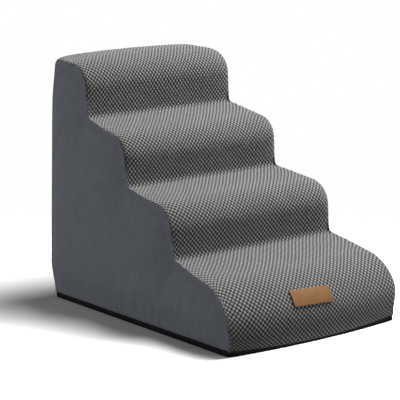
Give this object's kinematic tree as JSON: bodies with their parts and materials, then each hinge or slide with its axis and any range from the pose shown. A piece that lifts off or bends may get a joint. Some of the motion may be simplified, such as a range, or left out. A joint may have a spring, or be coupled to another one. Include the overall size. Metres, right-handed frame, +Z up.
{
  "type": "pet stairs",
  "caption": "Soft foam pet steps with round noses in a sewn cover: pitted woven strip over the treads, smooth sides, zip along the base and a bare patch in front",
  "frame": {"origin": "middle of the footprint, on the floor", "axes": "+X to the right across the width as seen from the front, +Y from the low front step to the high back, +Z up"},
  "size_m": [0.4218, 0.659, 0.5102],
  "materials": {
    "foam": "open-cell polyurethane foam, matt",
    "woven_strip": "pitted honeycomb weave, matt",
    "side_velvet": "short smooth velvet",
    "base_fabric": "plain black fabric, matt",
    "grip_silicone": "soft silicone, satin",
    "patch_leather": "smooth grained leather, bare",
    "zip_tape": "woven polyester tape",
    "zip_coil": "nylon coil",
    "zip_metal": "black lacquered zinc"
  },
  "bodies": {
    "stairs": {"foam_slab_1": "foam", "foam_slab_2": "foam", "foam_slab_3": "foam", "foam_slab_4": "foam", "step_cover": "woven_strip", "left_side_panel": "side_velvet", "right_side_panel": "side_velvet", "base_panel": "base_fabric", "grip_dots": "grip_silicone", "label_patch": "patch_leather", "zipper_upper_tape": "zip_tape", "zipper_lower_tape": "zip_tape", "zipper_upper_coil": "zip_coil", "zipper_lower_coil": "zip_coil", "zipper_top_stops": "zip_metal", "zipper_bottom_stop": "zip_metal"},
    "slider": {"zipper_slider": "zip_metal"},
    "pull": {"zipper_pull": "zip_metal"}
  },
  "joints": [
    {"name": "slider_run", "type": "slide", "parent": "stairs", "child": "slider", "axis": [0, 1, 0], "range_m": [0, 0.5914]},
    {"name": "pull_swing", "type": "hinge", "parent": "slider", "child": "pull", "pos_m": [0.2025, -0.2942, 0.0065], "axis": [0, 0, -1], "range_deg": [0, 170]}
  ]
}
